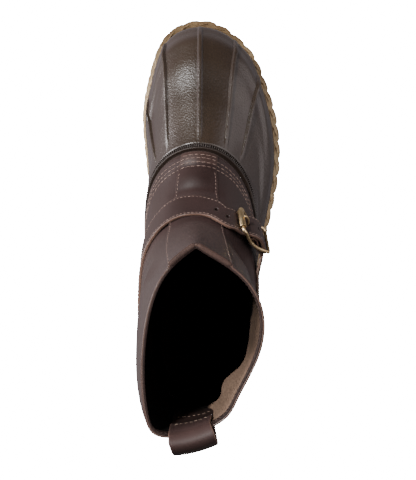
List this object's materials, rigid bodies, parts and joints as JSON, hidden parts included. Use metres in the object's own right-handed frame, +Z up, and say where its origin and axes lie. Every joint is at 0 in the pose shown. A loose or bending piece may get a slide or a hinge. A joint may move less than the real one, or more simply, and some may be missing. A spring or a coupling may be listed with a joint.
{
  "type": "duck boot",
  "caption": "Right duck boot, ankle high: moulded rubber bottom with toe ribs, leather shaft, buckled instep strap, pull loop and lugged gum sole.",
  "frame": {"origin": "on the floor, at the centre of the heel's flat contact spot", "axes": "+Z up, toe towards -Y, outer side of the foot towards -X, big-toe side towards +X"},
  "size_m": [0.1075, 0.31, 0.2219],
  "materials": {
    "gum_rubber": "satin gum rubber",
    "brown_rubber": "semi-gloss moulded rubber",
    "brown_leather": "smooth semi-gloss",
    "insole_board": "matt",
    "antique_brass": "aged satin"
  },
  "bodies": {
    "root": {"outsole": "gum_rubber", "rubber_bottom": "brown_rubber", "leather_upper": "brown_leather", "insole": "insole_board", "strap_long": "brown_leather", "strap_short": "brown_leather", "pull_loop": "brown_leather", "buckle_frame": "antique_brass", "buckle_roller": "antique_brass", "buckle_prong": "antique_brass"}
  },
  "joints": []
}
